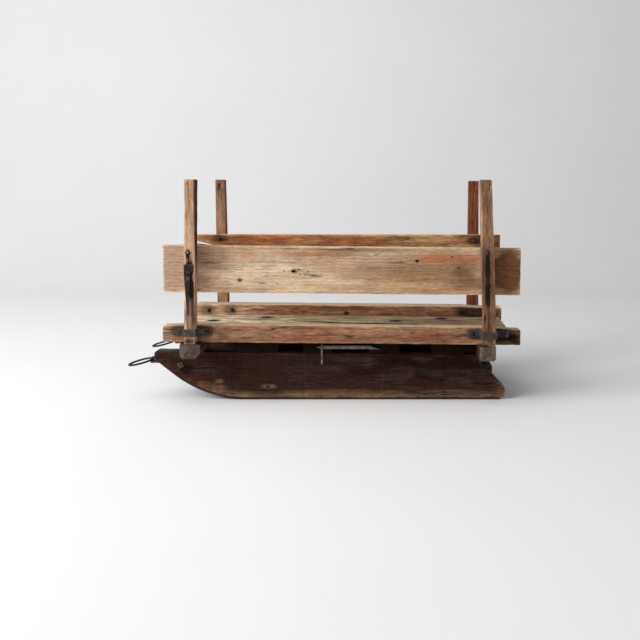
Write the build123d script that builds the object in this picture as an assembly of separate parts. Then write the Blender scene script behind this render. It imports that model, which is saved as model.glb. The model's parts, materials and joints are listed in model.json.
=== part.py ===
from build123d import *
import os
from math import asin, cos, pi, radians, sin, tan

# Old hand-drawn freight sled: two plank runners with iron shoes, crosswise bolsters
# and boards, a railed bed, and two liftable side racks held by iron straps.
# Millimetres. X runs along the sled with the nose towards -X, Z is up,
# and the near side is towards -Y. The floor is at Z = 0.

# Overall layout
bed_width = 458.0
bed_tilt = 0.53
cut_overrun = 20.0

# Runners, measured on the outside of their iron
runner_height = 145.0
runner_thickness = 38.0
runner_inset = 62.0
nose_reach = 582.0
nose_flat = 26.3
bend_radius = 362.0
bend_angle = 39.0
tail_top_reach = 428.0
tail_top_drop = 24.0
tail_reach = 503.5
tail_low_height = 38.0
tail_round = 22.0
heel_round = 16.0

# Iron shoes
shoe_thickness = 6.0
shoe_rear_reach = 485.0
shoe_lap = 80.0
shoe_lap_proud = 3.0
shoe_corner = 5.0

# Nose eyes and tow rings
eye_reach = 9.0
eye_drop = 3.0
eye_radius = 8.5
eye_plate = 6.0
ring_wire = 3.3
wire_sides = 8
ring_hole_clearance = 1.2
ring_neck = 8.5
ring_radius = 37.0
ring_droop = 13.0
ring_lengths = {"near": 75.0, "far": 87.0}
stop_reach = 5.0
stop_width = 28.0
stop_height = 5.0
stop_clearance = 0.3

# Tie rod between the noses, and the staples on the tails
tie_rod_radius = 6.0
tie_rod_setback = 82.0
tie_rod_below_top = 40.6
tie_rod_seat = 10.0
staple_wire = 3.0
staple_bend = 11.5
staple_stand = 0.5
staple_bite = 14.0
staple_below_top = 31.0

# Bolsters across the runners
bolster_height = 43.5
bolster_front_width = 62.0
bolster_rear_width = 50.0
bolster_front_setback = 90.0
bolster_rear_overhang = 8.0
bolster_round = 13.0
bolster_hew = 17.0
bolster_chip = 5.0

# Boards across the runners: place of the middle and width, as shares of the room
# between the two bolsters
cross_board_shares = [
    (0.181, 0.164),
    (0.4106, 0.1063),
    (0.658, 0.116),
    (0.8967, 0.1184),
]

# Bed rails and planks
rail_length = 1076.0
rail_height = 54.0
rail_near_width = 40.0
rail_far_width = 60.0
rail_end_round = 7.0
rail_wear = 4.0
plank_length = 1056.0
plank_thickness = 18.0
plank_far_width = 184.0
plank_gap = 5.0
plank_corner = 14.0
plank_clearance = 3.0

# Stakes: offset from the middle of the bolster, width at the foot and at the top,
# as shares of the stake's width, then height as a share of the stake's height
stake_width = 33.0
stake_shares = {
    "near_front": (-0.03, 1.0, 1.0, 0.997),
    "near_rear": (0.13, 1.14, 1.02, 1.011),
    "far_front": (-0.045, 1.12, 0.97, 0.996),
    "far_rear": (0.227, 1.21, 1.03, 1.004),
}
stake_lean_angles = {
    "near_front": 0.9,
    "near_rear": -2.65,
    "far_front": -0.8,
    "far_rear": -0.6,
}
stake_height = 489.5
stake_thickness = 33.0
stake_knee = 14.0
stake_end_round = 4.0
tenon_width = 18.0
tenon_thickness = 16.0
tenon_depth = 18.0
mortise_clearance = 0.6
seat_clearance = 0.3

# Iron straps round the feet of the stakes
strap_thickness = 4.0
strap_height = 21.0
strap_rise = 24.0
strap_foot = 38.0
strap_clearance = 0.6
strap_bend = 3.0

# Side boards: height of the lower edge above the rails, turn in the plane of the board
board_length = 1067.0
board_height = 142.0
board_thickness = 24.0
board_near_rise = 97.0
board_far_rise = 103.5
board_near_turn = 0.0
board_far_turn = -0.45
board_corner = 3.0

# Forged hook on the near front stake
hook_above_rail = 185.5
hook_length = 153.0
hook_width = 27.0
hook_neck = 19.0
hook_tip = 3.0
hook_tip_inset = 8.0
hook_thickness = 5.0
hook_eye_drop = 15.0

# Iron bar and its staple on the near runner
bar_nose = 20.0
bar_length = 201.0
bar_thickness = 8.0
bar_width = 11.0
bar_above_runner = 14.5
bar_point = 22.0
bar_droop = 7.0
bar_tail = 34.0
pin_place = -63.0
pin_wire = 2.6
pin_bend = 5.2
pin_below_top = 30.6
pin_above_bar = 6.0
pin_bite = 12.0

# Worked-out places
half_bed = bed_width / 2
runner_outer = half_bed - runner_inset
runner_inner = runner_outer - runner_thickness
runner_middle = (runner_outer + runner_inner) / 2
deck = runner_height + bolster_height
rail_top = deck + rail_height
half_rail = rail_length / 2
bolster_places = {
    "front": bolster_front_setback - half_rail,
    "rear": tail_top_reach + bolster_rear_overhang,
}
bolster_gap_front = bolster_places["front"] + bolster_front_width / 2
bolster_gap_rear = bolster_places["rear"] - bolster_rear_width / 2
stake_inner = half_bed + strap_clearance
stake_outer = stake_inner + stake_thickness
bolster_half = stake_outer
tilt_pivot = (0, 0, runner_height)
nose_x = -nose_reach
sides = {"near": -1, "far": 1}


def top_of_runner(x):
    """Height of the runner's sloped upper edge."""
    return runner_height - x * tan(radians(bed_tilt))


def nose_low():
    """Height of the lower corner of the nose's flat face."""
    return top_of_runner(nose_x) + shoe_lap_proud - nose_flat


def on_bed(shape):
    """Set a piece, drawn level, on the sloped upper edges of the runners."""
    return Pos(*tilt_pivot) * Rot(0, bed_tilt, 0) * Pos(*[-v for v in tilt_pivot]) * shape


def block(x0, x1, y0, y1, z0, z1):
    """Straight timber between its six limits."""
    low = (Align.MIN, Align.MIN, Align.MIN)
    return Pos(x0, y0, z0) * Box(x1 - x0, y1 - y0, z1 - z0, align=low)


def sawn(face, y0, y1):
    """A side outline, drawn in X and Z, given its thickness from y0 to y1."""
    return extrude(Plane.XZ.offset(-y1) * face, amount=y1 - y0)


def forged_section(radius):
    """Section of a forged rod, hammered round with small flats."""
    return RegularPolygon(radius, wire_sides)


def ordered(a, b):
    """The two limits with the lower one first."""
    return (min(a, b), max(a, b))


# Runners and shoes
def iron_path(inset):
    """Points of the shoe's face: heel, start, middle and end of the bend, nose and lap."""
    radius = bend_radius - inset
    half = radians(bend_angle / 2)
    full = radians(bend_angle)
    slope_run = (nose_low() - bend_radius * (1 - cos(full))) / tan(full)
    start_x = nose_x + slope_run + bend_radius * sin(full)
    start = (start_x, inset)
    middle = (start_x - radius * sin(half), bend_radius - radius * cos(half))
    end = (start_x - radius * sin(full), bend_radius - radius * cos(full))
    front = nose_x + inset
    low = (front, end[1] + (end[0] - front) * tan(full))
    high = (front, top_of_runner(front) + shoe_lap_proud - inset)
    lap_x = nose_x + shoe_lap
    lap = (lap_x, top_of_runner(lap_x) + shoe_lap_proud - inset)
    return [(shoe_rear_reach, inset), start, middle, end, low, high, lap]


def iron_edges(points):
    """Edges through the points of one face of the shoe."""
    heel, start, middle, end, low, high, lap = points
    edges = Line(heel, start) + ThreePointArc(start, middle, end)
    return edges + Polyline(end, low, high, lap)


def shoe_face():
    """Side outline of the iron from the heel, round the nose, to the lap on top."""
    outer = iron_path(0)
    inner = iron_path(shoe_thickness)
    ends = Line(outer[0], inner[0]) + Line(outer[-1], inner[-1])
    face = make_face(iron_edges(outer) + iron_edges(inner) + ends)
    corners = [outer[5], inner[5]]
    for corner, radius in zip(corners, (shoe_corner + shoe_thickness, shoe_corner)):
        face = fillet(face.vertices().sort_by_distance(Vector(*corner))[0], radius)
    return face


def runner_face():
    """Side outline of the plank inside its iron, with the tail cut back."""
    iron = iron_path(shoe_thickness)
    lap_top = (iron[-1][0], top_of_runner(iron[-1][0]))
    tail_top = (tail_top_reach, top_of_runner(tail_top_reach))
    tail_neck = (tail_top_reach, tail_top[1] - tail_top_drop)
    tail_back = (tail_reach, tail_low_height)
    tail_foot = (tail_reach, shoe_thickness)
    rest = Polyline(iron[-1], lap_top, tail_top, tail_neck, tail_back, tail_foot, iron[0])
    face = make_face(iron_edges(iron) + rest)
    rounds = [(iron[5], shoe_corner), (tail_back, tail_round), (tail_foot, heel_round)]
    for corner, radius in rounds:
        face = fillet(face.vertices().sort_by_distance(Vector(*corner))[0], radius)
    return face


def tail_slope():
    """Middle of the staple on the tail's sloped cut, and the slope's angle."""
    neck_z = top_of_runner(tail_top_reach) - tail_top_drop
    run = tail_reach - tail_top_reach
    fall = neck_z - tail_low_height
    share = (staple_below_top - tail_top_drop + staple_bend) / fall
    return (tail_top_reach + share * run, neck_z - share * fall), (run, -fall)


def staple(bend, stand, bite, wire):
    """A bent wire with its feet on X and its bow towards +Z, driven in by its bite."""
    foot = Pos(-bend, 0, -bite) * forged_section(wire)
    left = extrude(foot, amount=bite + stand)
    start = Pos(-bend, 0, stand) * forged_section(wire)
    bow = revolve(start, axis=Axis((0, 0, stand), (0, 1, 0)), revolution_arc=180)
    return left + bow + mirror(left, about=Plane.YZ)


def tail_staple(side):
    """Staple on the tail's cut, in the plane of the runner."""
    (x, z), (run, drop) = tail_slope()
    normal = Vector(-drop, 0, run).normalized()
    along = Vector(run, 0, drop).normalized()
    seat = Plane(origin=(x, side * runner_middle, z), x_dir=along, z_dir=normal)
    return seat * staple(staple_bend, staple_stand, staple_bite, staple_wire)


def tie_rod():
    """Iron rod that ties the two noses together."""
    x = nose_x + tie_rod_setback
    z = top_of_runner(x) - tie_rod_below_top
    reach = runner_inner + tie_rod_seat
    return Pos(x, 0, z) * Rot(90, 0, 0) * Cylinder(tie_rod_radius, 2 * reach)


def side_pin_profile():
    """Route of the bar's long staple, seen along X, on the near side."""
    face_y = -runner_outer
    out_y = face_y - bar_thickness - pin_wire
    low_z = top_of_runner(pin_place) - pin_below_top
    top_z = bar_middle() + bar_width / 2 + pin_above_bar
    inner_y = face_y + pin_bite
    return [
        (pin_place, inner_y, low_z),
        (pin_place, out_y, low_z),
        (pin_place, out_y, top_z),
        (pin_place, inner_y, top_z),
    ]


def side_pin():
    """Long staple that holds the iron bar against the near runner."""
    points = side_pin_profile()
    path = FilletPolyline(*points, radius=pin_bend)
    profile = Plane(origin=points[0], z_dir=(0, -1, 0)) * forged_section(pin_wire)
    return sweep(profile, path=path)


def bar_middle():
    """Height of the middle of the iron bar."""
    return top_of_runner(pin_place) + bar_above_runner + bar_width / 2


def side_bar():
    """Flat iron bar with a pointed front and a drawn-out, drooping tail."""
    middle = bar_middle()
    high = middle + bar_width / 2
    low = middle - bar_width / 2
    front = pin_place - bar_nose
    rear = front + bar_length
    outline = Polyline(
        (front, middle),
        (front + bar_point, high),
        (rear - bar_tail, high),
        (rear, middle - bar_droop),
        (rear - bar_tail, low),
        (front + bar_point, low),
        close=True,
    )
    return sawn(make_face(outline), -runner_outer - bar_thickness, -runner_outer)


def runner(side):
    """Plank runner with holes for its staple, tie rod and side pin."""
    y0, y1 = ordered(side * runner_inner, side * runner_outer)
    body = sawn(runner_face(), y0, y1)
    body -= tail_staple(side)
    body -= tie_rod()
    if side < 0:
        body -= side_pin()
    return body


def shoe(side):
    """Iron shoe as wide as its runner."""
    y0, y1 = ordered(side * runner_inner, side * runner_outer)
    return sawn(shoe_face(), y0, y1)


# Nose eyes and tow rings
def eye_centre():
    """Pivot of a tow ring, in X and Z."""
    return (nose_x - eye_reach, nose_low() - eye_drop)


def nose_eye(side):
    """Forged eye on the shoe's nose, with the cross lip that the ring comes to rest on."""
    x, z = eye_centre()
    y = side * runner_middle
    back = nose_x + shoe_lap / 2
    tab = block(x, back, y - eye_plate / 2, y + eye_plate / 2, z - eye_radius, z + eye_radius)
    disc = Pos(x, y, z) * Rot(90, 0, 0) * Cylinder(eye_radius, eye_plate)
    droop = radians(ring_droop)
    lip_top = z - stop_reach * tan(droop) - ring_wire / cos(droop) - stop_clearance
    lip_y = (y - stop_width / 2, y + stop_width / 2)
    lip = block(x - stop_reach, back, *lip_y, lip_top - stop_height, lip_top)
    hole_radius = ring_wire + ring_hole_clearance
    hole = Pos(x, y, z) * Rot(90, 0, 0) * Cylinder(hole_radius, eye_plate + cut_overrun)
    runner_body = shoe(side) + runner(side)
    return disc + tab + lip - hole - runner_body


def ring_half(length):
    """Half of the ring's middle line: neck, straight flank and bow."""
    bow_x = length - ring_radius
    lean = asin((ring_radius - ring_neck) / (bow_x - ring_neck))
    neck_turn = (pi / 2 - lean) / 2
    bow_turn = (pi / 2 + lean) / 2
    neck = ThreePointArc(
        (0, 0),
        (ring_neck * (1 - cos(neck_turn)), ring_neck * sin(neck_turn)),
        (ring_neck * (1 - sin(lean)), ring_neck * cos(lean)),
    )
    bow = ThreePointArc(
        (bow_x - ring_radius * sin(lean), ring_radius * cos(lean)),
        (bow_x + ring_radius * cos(bow_turn), ring_radius * sin(bow_turn)),
        (length, 0),
    )
    return neck + Line(neck @ 1, bow @ 0) + bow


def tow_ring(word):
    """Teardrop ring of round iron, its neck through the nose eye."""
    x, z = eye_centre()
    y = sides[word] * runner_middle
    profile = Plane(origin=(0, 0, 0), z_dir=(0, 1, 0)) * forged_section(ring_wire)
    half = sweep(profile, path=ring_half(ring_lengths[word]))
    loop = half + mirror(half, about=Plane.XZ)
    return Pos(x, y, z) * Rot(0, -ring_droop, 0) * Rot(0, 0, 180) * loop


# Bolsters and cross boards
def stake_place(name):
    """Side of a stake, and its place along the sled."""
    word, end = name.split("_")
    return sides[word], bolster_places[end] + stake_shares[name][0] * stake_width


def mortise(name):
    """Pocket in a bolster for the tenon of a stake."""
    side, place = stake_place(name)
    half_x = tenon_width / 2 + mortise_clearance
    half_y = tenon_thickness / 2 + mortise_clearance
    y = side * (stake_inner + stake_thickness / 2)
    depth = tenon_depth + mortise_clearance
    return block(place - half_x, place + half_x, y - half_y, y + half_y, deck - depth, deck)


def bolster(end, width, left_round, right_cut):
    """Hewn cross timber: flat on top, its lower corners rounded or cut away."""
    place = bolster_places[end]
    low = runner_height
    face = make_face(
        Polyline(
            (place - width / 2, low),
            (place + width / 2, low),
            (place + width / 2, deck),
            (place - width / 2, deck),
            close=True,
        )
    )
    left_low = Vector(place - width / 2, low)
    right_low = Vector(place + width / 2, low)
    face = fillet(face.vertices().sort_by_distance(left_low)[0], left_round)
    face = chamfer(face.vertices().sort_by_distance(right_low)[0], right_cut)
    body = sawn(face, -bolster_half, bolster_half)
    for word in sides:
        body -= mortise(word + "_" + end)
    return on_bed(body)


def cross_board(place_share, width_share):
    """Board laid across both runners, under the bed."""
    room = bolster_gap_rear - bolster_gap_front
    place = bolster_gap_front + place_share * room
    half = width_share * room / 2
    y = runner_outer
    body = block(place - half, place + half, -y, y, runner_height, deck)
    body = on_bed(body)
    return body - side_pin()


# Rails and planks of the bed
def rail(side, width):
    """Bed rail with rounded ends and worn upper edges."""
    y0, y1 = ordered(side * half_bed, side * (half_bed - width))
    body = block(-half_rail, half_rail, y0, y1, deck, rail_top)
    ends = body.edges().filter_by(Axis.Y).group_by(Axis.Z)[-1]
    body = fillet(ends, rail_end_round)
    upper = body.edges().filter_by(Axis.X).group_by(Axis.Z)[-1]
    return on_bed(fillet(upper, rail_wear))


def bed_plank(y0, y1):
    """Lower plank of the bed, lying on the cross boards and bolsters."""
    half = plank_length / 2
    body = block(-half, half, y0, y1, deck, deck + plank_thickness)
    corners = body.edges().filter_by(Axis.Z)
    return on_bed(fillet(corners, plank_corner))


# Stakes, straps and side boards
def stake(name):
    """Stake with a straight foot and tenon, leaning above its knee, its top worn round."""
    side, place = stake_place(name)
    foot_share, top_share, height_share = stake_shares[name][1:]
    stake_top = deck + height_share * stake_height
    knee = rail_top + stake_knee
    shift = (stake_top - knee) * tan(radians(stake_lean_angles[name]))
    foot = deck + seat_clearance
    half = foot_share * stake_width / 2
    half_top = top_share * stake_width / 2
    outline = Polyline(
        (place - half, foot),
        (place + half, foot),
        (place + half, knee),
        (place + half_top + shift, stake_top),
        (place - half_top + shift, stake_top),
        (place - half, knee),
        close=True,
    )
    y0, y1 = ordered(side * stake_inner, side * stake_outer)
    body = sawn(make_face(outline), y0, y1)
    body = fillet(body.edges().group_by(Axis.Z)[-1], stake_end_round)
    y = (y0 + y1) / 2
    tenon_y = (y - tenon_thickness / 2, y + tenon_thickness / 2)
    tenon_x = (place - tenon_width / 2, place + tenon_width / 2)
    body += block(*tenon_x, *tenon_y, foot - tenon_depth, foot)
    return on_bed(body)


def stake_strap(name):
    """Iron strap bent round a stake's foot, its two feet flat on the rail."""
    side, place = stake_place(name)
    inner_x = stake_shares[name][1] * stake_width / 2 + strap_clearance
    outer_x = inner_x + strap_thickness
    inner_y = stake_outer + strap_clearance
    outer_y = inner_y + strap_thickness
    foot_x = outer_x + strap_foot
    foot_y = half_bed + strap_thickness
    outline = [
        (foot_x, half_bed),
        (foot_x, foot_y),
        (outer_x, foot_y),
        (outer_x, outer_y),
        (-outer_x, outer_y),
        (-outer_x, foot_y),
        (-foot_x, foot_y),
        (-foot_x, half_bed),
        (-inner_x, half_bed),
        (-inner_x, inner_y),
        (inner_x, inner_y),
        (inner_x, half_bed),
    ]
    face = make_face(Polyline(*outline, close=True))
    bends = [(outer_x, outer_y), (-outer_x, outer_y)]
    for bend in bends:
        face = fillet(face.vertices().sort_by_distance(Vector(*bend))[0], strap_bend)
    band = extrude(face, amount=strap_height)
    if side < 0:
        band = Rot(0, 0, 180) * band
    return on_bed(Pos(place, 0, deck + strap_rise) * band)


def side_board(side, rise, turn):
    """Long board bolted to the inner faces of two stakes."""
    half = board_length / 2
    y0, y1 = ordered(side * stake_inner, side * (stake_inner - board_thickness))
    body = block(-half, half, y0, y1, -board_height / 2, board_height / 2)
    body = fillet(body.edges().filter_by(Axis.Y), board_corner)
    middle = rail_top + rise + board_height / 2
    return on_bed(Pos(0, 0, middle) * Rot(0, turn, 0) * body)


def stake_hook():
    """Flat forged hook hanging on the outer face of the near front stake."""
    side, place = stake_place("near_front")
    top = rail_top + hook_above_rail
    shoulder = top - hook_eye_drop
    neck = shoulder - hook_eye_drop
    bottom = top - hook_length
    left = place - hook_width / 2
    tip_left = left + hook_tip_inset
    outline = Polyline(
        (left, top),
        (left + hook_width, top),
        (left + hook_width, shoulder),
        (left + hook_neck, neck),
        (tip_left + hook_tip, bottom),
        (tip_left, bottom),
        (left, neck),
        close=True,
    )
    return on_bed(sawn(make_face(outline), -stake_outer - hook_thickness, -stake_outer))


# All nodes by name
nodes = {}
for word, side in sides.items():
    nodes["runner_" + word] = runner(side)
    nodes["shoe_" + word] = shoe(side)
    nodes["nose_eye_" + word] = nose_eye(side)
    nodes["tow_ring_" + word] = tow_ring(word)
    nodes["tail_staple_" + word] = tail_staple(side)
nodes["nose_tie_rod"] = tie_rod()
nodes["side_bar"] = side_bar()
nodes["side_bar_staple"] = side_pin()
nodes["bolster_front"] = bolster("front", bolster_front_width, bolster_round, bolster_hew)
nodes["bolster_rear"] = bolster("rear", bolster_rear_width, bolster_chip, bolster_chip)
for number, shares in enumerate(cross_board_shares, 1):
    nodes["cross_board_" + str(number)] = cross_board(*shares)
nodes["rail_near"] = rail(sides["near"], rail_near_width)
nodes["rail_far"] = rail(sides["far"], rail_far_width)
far_edge = half_bed - rail_far_width - plank_clearance
far_low = far_edge - plank_far_width
nodes["bed_plank_far"] = bed_plank(far_low, far_edge)
near_edge = rail_near_width + plank_clearance - half_bed
nodes["bed_plank_near"] = bed_plank(near_edge, far_low - plank_gap)
for name in stake_shares:
    nodes["stake_" + name] = stake(name)
    nodes["strap_" + name] = stake_strap(name)
nodes["side_board_near"] = side_board(sides["near"], board_near_rise, board_near_turn)
nodes["side_board_far"] = side_board(sides["far"], board_far_rise, board_far_turn)
nodes["stake_hook"] = stake_hook()

# The origin goes to the floor, under the middle of the whole sled
boxes = [shape.bounding_box() for shape in nodes.values()]
front_x = min(box.min.X for box in boxes)
rear_x = max(box.max.X for box in boxes)
middle_x = (front_x + rear_x) / 2
to_origin = Pos(-middle_x, 0, 0)

os.makedirs("parts", exist_ok=True)
for name, shape in nodes.items():
    export_step(to_origin * shape, "parts/" + name + ".step")

print("front", round(front_x, 3), "rear", round(rear_x, 3), "middle", round(middle_x, 4))
print("ring pivot", eye_centre()[0] - middle_x, runner_middle, eye_centre()[1])
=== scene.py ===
import json
from math import asin, atan2, cos, pi, radians, sin

import bmesh
import bpy
from bpy.props import FloatProperty, FloatVectorProperty, PointerProperty
from mathutils import Matrix, Vector, noise


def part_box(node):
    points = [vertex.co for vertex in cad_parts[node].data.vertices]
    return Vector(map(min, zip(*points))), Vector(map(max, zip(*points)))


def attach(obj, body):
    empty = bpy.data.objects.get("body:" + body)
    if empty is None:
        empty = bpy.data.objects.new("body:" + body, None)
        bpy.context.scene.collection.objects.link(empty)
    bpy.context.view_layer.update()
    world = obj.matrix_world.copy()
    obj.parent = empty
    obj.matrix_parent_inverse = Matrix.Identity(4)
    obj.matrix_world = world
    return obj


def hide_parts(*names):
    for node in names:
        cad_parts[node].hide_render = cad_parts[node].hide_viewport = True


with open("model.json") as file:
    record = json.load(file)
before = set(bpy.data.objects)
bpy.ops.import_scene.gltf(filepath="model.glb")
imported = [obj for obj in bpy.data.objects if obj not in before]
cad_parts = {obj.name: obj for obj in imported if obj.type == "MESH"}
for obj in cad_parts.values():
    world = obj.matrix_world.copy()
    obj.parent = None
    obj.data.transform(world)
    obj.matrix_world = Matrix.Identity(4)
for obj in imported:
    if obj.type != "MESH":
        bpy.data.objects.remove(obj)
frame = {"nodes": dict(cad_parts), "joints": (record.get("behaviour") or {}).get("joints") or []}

bl_info = {
    "name": "Freight Sled",
    "version": (1, 0, 0),
    "blender": (4, 5, 0),
    "location": "View3D > Sidebar > Sled",
    "description": "Dresses an old hand-drawn freight sled in worn wood and forged iron",
    "category": "Object",
}

# Metres throughout. The bed and all it carries lean with the runners' sloped upper edges,
# so those pieces are drawn level and then laid on the bed.
MM = 0.001
MERGE = 0.01 * MM
X, Y, Z = Vector((1, 0, 0)), Vector((0, 1, 0)), Vector((0, 0, 1))
SIDES = {"near": -1, "far": 1}
LIFT = next(j for j in frame["joints"] if j["name"] == "rack_near_lift")["axis"]
BED = Matrix.Rotation(atan2(LIFT[0], LIFT[2]), 4, "Y")
LEVEL = BED.inverted()
FAR_BOARD = BED @ Matrix.Rotation(radians(-0.45), 4, "Y")
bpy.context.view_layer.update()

# Places on the timbers, in millimetres from the lower front corner of each: along, up. Holes
# have their radius and how far they are stretched along the grain too, and knots their radius.
BOARD_HOLES = [
    (389, 67, 4.6, 1.9), (361, 67, 2.6, 1.2), (406, 72, 2.6, 1.5), (409, 56, 2.2, 1.2),
    (433, 67, 2.8, 1.1), (229, 39, 3.0, 1.3), (758, 101, 4.4, 1.5), (692, 67, 1.8, 1.2),
    (862, 114, 2.4, 2.4),
]
BOARD_KNOTS = [(392, 67, 7), (229, 39, 6), (758, 101, 5)]
STAKE_BOLTS = {
    "near_front": [(15.5, 292)],
    "near_rear": [(25, 298), (27, 205)],
    "far_front": [(22, 297), (21, 215)],
    "far_rear": [(20, 292), (22, 205)],
}
FAR_BOARD_HEADS = [(82, 126), (975, 127), (80, 44), (975, 44)]
FAR_RAIL_NUTS = [(52, 33), (135, 34), (934, 35), (1016, 36)]
FAR_RAIL_HEAD = (532, 27)

# The two heads in each strap, along from the strap's front end
STRAP_HEADS = {
    "near_front": (26, 107), "near_rear": (15, 108), "far_front": (25, 108), "far_rear": (15, 97)
}

# Heads in the far plank, along and across it, and nails in the near rail's top, along and
# across from the middle of the sled
PLANK_HEADS = [(85, 67), (253, 139), (694, 90), (850, 143)]
RAIL_NAILS = [(-6, -201), (-300, -201), (290, -201)]

# Tints of the near board: along, up, half length, half height, colour, share
BOARD_TINTS = [
    (800, 66, 260, 110, (156, 114, 78), 0.7),
    (860, 109, 170, 24, (178, 104, 66), 0.75),
    (620, 133, 230, 12, (124, 100, 78), 0.75),
    (480, 118, 190, 9, (176, 112, 74), 0.7),
    (930, 34, 130, 36, (132, 82, 50), 0.7),
    (560, 22, 170, 14, (178, 130, 92), 0.5),
    (290, 74, 190, 60, (222, 196, 164), 0.8),
    # Darker right end: browner wood, and partly the rear stake's painted shade
    (1030, 70, 76, 120, (112, 74, 48), 1.2),
    (150, 100, 70, 60, (140, 110, 84), 0.55),
    (30, 70, 60, 110, (180, 150, 126), 1.0),
    (896, 62, 52, 60, (120, 82, 54), 0.7),
    (690, 26, 150, 20, (204, 166, 122), 0.6),
    (770, 56, 120, 22, (170, 134, 92), 0.6),
    (250, 112, 60, 18, (196, 138, 106), 0.5),
    (120, 40, 60, 24, (170, 130, 102), 0.5),
]

# Stains on the stakes, on the near front one also the hook's painted shade: along, up, half width,
# half height, share
STAKE_STAINS_AND_SHADE = {
    "near_front": [
        # The first three: iron stain, and the painted shade that the hook casts beside it
        (20, 238, 15, 52, 1.5), (24, 186, 13, 66, 1.3), (28, 120, 9, 90, 0.8),
        (16, 27, 26, 13, 0.9),
    ],
    "near_rear": [
        (33, 90, 8, 90, 0.6), (27, 252, 15, 74, 1.2), (28, 176, 13, 66, 1.2),
        (14, 240, 5, 90, 0.7), (22, 104, 4, 20, 1.2), (24, 10, 24, 22, 1.2),
        (22, 440, 22, 44, 0.35),
    ],
    "far_front": [(13, 478, 6, 22, 0.8)],
    "far_rear": [],
}

# Tints of the rails: the end they are counted from, along, up, half sizes, colour, share
RAIL_TINTS = {
    "near": [
        # The two at the rear: stain round the strap, and partly the rear stake's painted shade
        ("rear", 0, 20, (90, 90, 90), (92, 66, 48), 1.6),
        ("rear", -48, 22, (56, 70, 60), (28, 18, 13), 1.8),
        ("front", 0, 20, (50, 70, 70), (158, 130, 106), 0.7),
        ("middle", 0, 8, (560, 40, 18), (122, 84, 60), 0.6),
    ],
    "far": [
        ("front", 90, 20, (240, 90, 70), (204, 165, 136), 1.0),
        ("rear", -70, 20, (110, 90, 60), (76, 54, 42), 1.1),
    ],
}

# Worn hollows in the rails' tops: the end they are counted from, along, half length, depth
RAIL_DIPS = {"near": [("rear", -20, 75, 6), ("front", 0, 70, 3)], "far": [("rear", -30, 120, 4)]}

# Cracks: from, to, width, depth, wander, seed, and the foot's width as a share of the mouth's.
# The plank's are counted along from its front end and across from the sled's middle.
KEEN = 0.12
CRACKS = {
    "side_board_near": [((1040, 72), (1074, 76), 2.2, 30, 1, 2, KEEN)],
    "side_board_far": [
        ((-50, 121), (58, 104), 9, 30, 1, 5, 1.0), ((40, 108), (190, 112), 1.6, 9, 3, 6, KEEN)
    ],
    "rail_far": [
        ((973, 8), (976, 58), 2.6, 12, 9, 4, KEEN), ((640, 24), (800, 22), 1.8, 8, 3, 9, KEEN),
        ((110, 26), (250, 34), 2.0, 8, 3, 10, KEEN),
    ],
    "bed_plank_far": [
        ((420, -14), (930, -15), 14, 12, 4, 14, 0.8), ((366, 46), (840, 0), 21, 16, 9, 3, 0.8),
        ((90, 88), (330, 66), 11, 9, 5, 12, 0.6),
    ],
}

# Iron: its bright share where it is rubbed, its rust, and how bright its edges are, which is rubbed
# iron and partly painted highlight
IRON_SHARES = {
    "forged_iron": (0.15, 0.35, 0.3),
    "strap_iron": (0.22, 0.35, 0.3),
    "nut_iron": (0.7, 0.5, 0.4),
    "shoe_iron": (0.04, 0.7, 0.12),
    "ring_iron": (0.1, 0.2, 0.2),
    # The side bar: pale steel, and partly a painted highlight
    "bar_iron_and_sheen": (0.8, 0.1, 0.6),
}

# Shape of the small iron: heights as shares of the diameter, the rest in metres
HEAD_RISE = 0.32
NAIL_RISE = 0.16
NUT_SUNK = 1.6 * MM
NAIL_SUNK = 1.0 * MM
HOOK_THINNED = 2.2 * MM
STRAP_THICKNESS = 4 * MM
HAMMERED = 0.15 * MM

# Angles at which two faces meet: from the first on the edge is eased, from the second on
# it is shaded sharp
EASED_ANGLE = radians(40)
SHARP_ANGLE = radians(32)

# The picture: where the camera stood, and in pixels its side and where the lens points
CAMERA_PLACE = (0.20118, -2.59848, 0.67855)
PICTURE_SIDE, PICTURE_X, PICTURE_Y = 640, 385, 254
MOST_WATTS = 5000


def tone(red, green, blue):
    """A colour as a paint chart gives it, 0 to 255, made linear for the shader."""
    parts = [c / 255 for c in (red, green, blue)]
    return tuple(p / 12.92 if p <= 0.04045 else ((p + 0.055) / 1.055) ** 2.4 for p in parts)


def size_setting(name, description, millimetres):
    """A length that the user can change, shown in the scene's units."""
    return FloatProperty(
        name=name, description=description, default=millimetres * MM, min=0.0, unit="LENGTH"
    )


def colour_setting(name, description, *parts):
    """A colour that the user can change."""
    return FloatVectorProperty(
        name=name, description=description, default=tone(*parts), min=0.0, max=1.0, subtype="COLOR"
    )


def amount_setting(name, description, value, highest=10.0):
    """A plain amount that the user can change."""
    return FloatProperty(name=name, description=description, default=value, min=0.0, max=highest)


class SledStageSettings(bpy.types.PropertyGroup):
    """Floor, light and camera"""

    paper: colour_setting("Paper", "Colour of the floor and backdrop", 236, 236, 237)
    sky: amount_setting("Room light", "Strength of the even light from all round", 0.34)
    window: amount_setting(
        "Window light", "Power of the large soft light at the left, watts", 286.0, MOST_WATTS
    )
    ceiling: amount_setting(
        "Ceiling light", "Power of the soft light overhead, watts", 36.0, MOST_WATTS
    )
    wall: amount_setting("Wall light", "Power of the light on the backdrop, watts", 2.0, MOST_WATTS)
    lens: FloatProperty(name="Lens", description="Focal length", default=45.0, unit="CAMERA")
    pitch: FloatProperty(
        name="Pitch",
        description="How far the camera looks down",
        default=radians(5.285),
        subtype="ANGLE",
    )


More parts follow.
